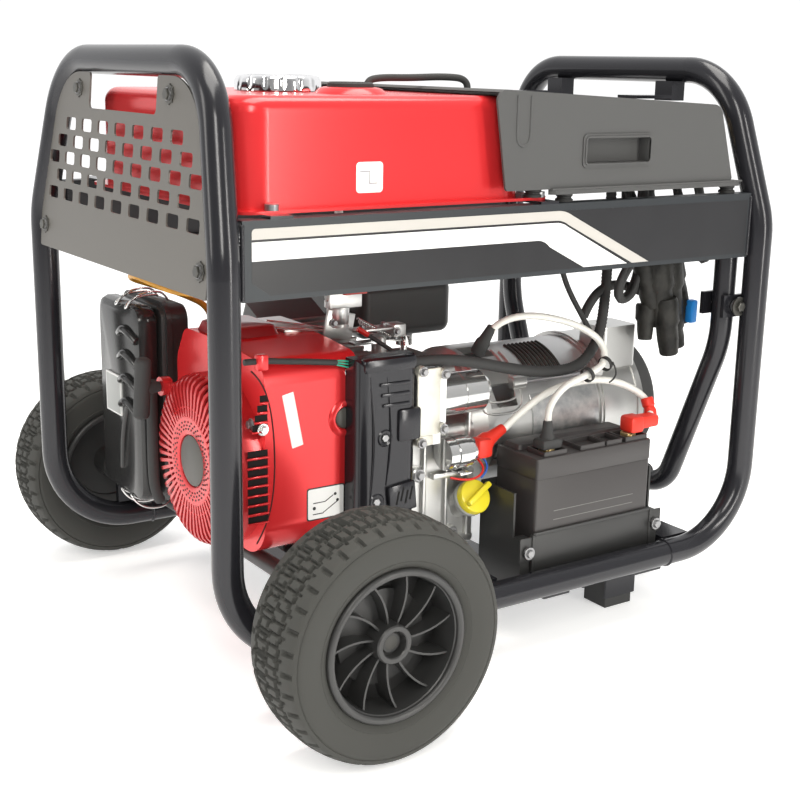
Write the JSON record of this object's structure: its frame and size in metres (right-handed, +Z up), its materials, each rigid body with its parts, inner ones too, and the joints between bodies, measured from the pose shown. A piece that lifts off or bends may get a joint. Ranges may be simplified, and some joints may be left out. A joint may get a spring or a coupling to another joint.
{
  "type": "engine driven welder",
  "caption": "Portable open-frame petrol engine driven welder and generator on two wheels, with battery, recoil starter, fuel tank, control box and a folding pull bar.",
  "frame": {"origin": "on the ground under the middle of the frame", "axes": "+X from the recoil starter end to the alternator end, +Y away from the battery side, +Z up"},
  "size_m": [0.768, 0.773, 0.686],
  "materials": {
    "air_cleaner_plastic": "gloss",
    "axle_paint": "satin",
    "axle_steel": "brushed",
    "battery_plastic": "satin",
    "black_gloss_paint": "gloss",
    "black_plastic": "satin",
    "cap_chrome": "polished",
    "cast_aluminium": "cast",
    "channel_paint": "satin",
    "control_panel_paint": "satin",
    "cover_plastic": "matte",
    "flywheel_iron": "cast",
    "gauge_plastic": "matte",
    "grip_rubber": "matte",
    "key_steel": "brushed",
    "lead_sheath": "satin",
    "lever_plastic": "gloss",
    "mount_rubber": "matte",
    "muffler_steel": "heat-resistant black",
    "oil_cap_plastic": "gloss",
    "panel_paint": "satin",
    "plug_ceramic": "gloss",
    "recoil_paint": "gloss",
    "red_paint": "gloss",
    "rim_plastic": "satin",
    "rocker_paint": "satin",
    "starter_steel": "polished",
    "terminal_brass": "satin",
    "tray_paint": "satin",
    "tyre_rubber": "matte"
  },
  "bodies": {
    "frame": {"air_cleaner_base": "black_plastic", "alternator_cap": "gauge_plastic", "axle": "axle_paint", "battery": "battery_plastic", "battery_leads": "lead_sheath", "battery_strap": "gauge_plastic", "battery_tray": "tray_paint", "carburettor": "cast_aluminium", "control_cover": "cover_plastic", "control_panel": "control_panel_paint", "crankcase": "cast_aluminium", "cross_members": "black_gloss_paint", "cylinder_head": "cast_aluminium", "end_housing": "cast_aluminium", "fan_shroud": "red_paint", "fasteners": "axle_steel", "frame_brackets": "black_gloss_paint", "front_bell": "cast_aluminium", "fuel_gauge": "gauge_plastic", "fuel_hoses": "mount_rubber", "fuel_tank": "red_paint", "fuel_valve": "cast_aluminium", "hoop_left": "black_gloss_paint", "hoop_right": "black_gloss_paint", "lower_rails": "black_gloss_paint", "muffler": "muffler_steel", "perforated_panel": "panel_paint", "power_sockets": "control_panel_paint", "recoil_cover": "recoil_paint", "rocker_cover": "rocker_paint", "rubber_mounts": "mount_rubber", "side_channels": "channel_paint", "spark_plug": "plug_ceramic", "starter_cover": "black_gloss_paint", "starter_motor": "starter_steel", "starter_solenoid": "starter_steel", "stator": "key_steel", "voltage_regulator": "control_panel_paint", "weld_terminals": "terminal_brass", "wiring_loom": "mount_rubber"},
    "wheel_front": {"tyre_front": "tyre_rubber", "rim_front": "rim_plastic"},
    "wheel_back": {"tyre_back": "tyre_rubber", "rim_back": "rim_plastic"},
    "crank": {"crankshaft": "key_steel", "flywheel": "flywheel_iron", "rotor": "key_steel"},
    "recoil_pulley": {"recoil_pulley": "gauge_plastic"},
    "pull_handle": {"pull_handle": "gauge_plastic"},
    "fuel_cap": {"fuel_cap": "cap_chrome"},
    "oil_cap": {"oil_filler_cap": "oil_cap_plastic"},
    "choke_lever": {"choke_lever": "gauge_plastic"},
    "governor_arm": {"governor_arm": "starter_steel"},
    "fuel_valve_lever": {"fuel_valve_lever": "lever_plastic"},
    "ignition_key": {"ignition_key": "key_steel"},
    "current_knob": {"current_knob": "gauge_plastic"},
    "breaker_button": {"breaker_button": "gauge_plastic"},
    "air_cleaner_cover": {"air_cleaner_cover": "air_cleaner_plastic"},
    "pull_bar": {"pull_bar": "black_gloss_paint", "grip": "grip_rubber"}
  },
  "joints": [
    {"name": "wheel_front_spin", "type": "hinge", "parent": "frame", "child": "wheel_front", "pos_m": [-0.256, -0.3445, 0.126], "axis": [0, 1, 0], "continuous": true},
    {"name": "wheel_back_spin", "type": "hinge", "parent": "frame", "child": "wheel_back", "pos_m": [-0.256, 0.3445, 0.126], "axis": [0, 1, 0], "continuous": true},
    {"name": "crank_spin", "type": "hinge", "parent": "frame", "child": "crank", "pos_m": [0, -0.05, 0.236], "axis": [1, 0, 0], "continuous": true},
    {"name": "handle_pull", "type": "slide", "parent": "frame", "child": "pull_handle", "axis": [-1, 0, 0], "range_m": [0, 0.45], "stiffness_N_per_m": 40},
    {"name": "recoil_pulley_spin", "type": "hinge", "parent": "frame", "child": "recoil_pulley", "pos_m": [-0.29, -0.05, 0.236], "axis": [1, 0, 0], "range_deg": [-520, 0]},
    {"name": "fuel_cap_turn", "type": "hinge", "parent": "frame", "child": "fuel_cap", "pos_m": [-0.197, -0.04, 0.64], "axis": [0, 0, 1], "range_deg": [0, 90]},
    {"name": "oil_cap_turn", "type": "hinge", "parent": "frame", "child": "oil_cap", "pos_m": [-0.003, -0.13, 0.154], "axis": [0, -0.867, 0.4983], "range_deg": [0, 540]},
    {"name": "choke_turn", "type": "hinge", "parent": "frame", "child": "choke_lever", "pos_m": [-0.226, 0.109, 0.348], "axis": [0, 0, 1], "range_deg": [0, 50]},
    {"name": "governor_swing", "type": "hinge", "parent": "frame", "child": "governor_arm", "pos_m": [-0.038, -0.062, 0.35], "axis": [0, 0, 1], "range_deg": [-8, 12], "stiffness_Nm_per_rad": 0.05},
    {"name": "fuel_valve_turn", "type": "hinge", "parent": "frame", "child": "fuel_valve_lever", "pos_m": [-0.13, -0.083, 0.418], "axis": [0, 1, 0], "range_deg": [0, 90]},
    {"name": "key_turn", "type": "hinge", "parent": "frame", "child": "ignition_key", "pos_m": [0.2805, 0.005, 0.584], "axis": [1, 0, 0], "range_deg": [0, 90]},
    {"name": "current_knob_turn", "type": "hinge", "parent": "frame", "child": "current_knob", "pos_m": [0.2805, -0.045, 0.584], "axis": [1, 0, 0], "range_deg": [0, 270]},
    {"name": "breaker_press", "type": "slide", "parent": "frame", "child": "breaker_button", "axis": [-1, 0, 0], "range_m": [0, 0.004], "stiffness_N_per_m": 300},
    {"name": "air_cover_lift", "type": "slide", "parent": "frame", "child": "air_cleaner_cover", "axis": [-1, 0, 0], "range_m": [0, 0.05]},
    {"name": "pull_bar_fold", "type": "hinge", "parent": "frame", "child": "pull_bar", "pos_m": [0.347, 0, 0.385], "axis": [0, -1, 0], "range_deg": [0, 100]}
  ],
  "couplings": [
    {"joint": "recoil_pulley_spin", "follows": "handle_pull", "rad_per_m": -20}
  ]
}
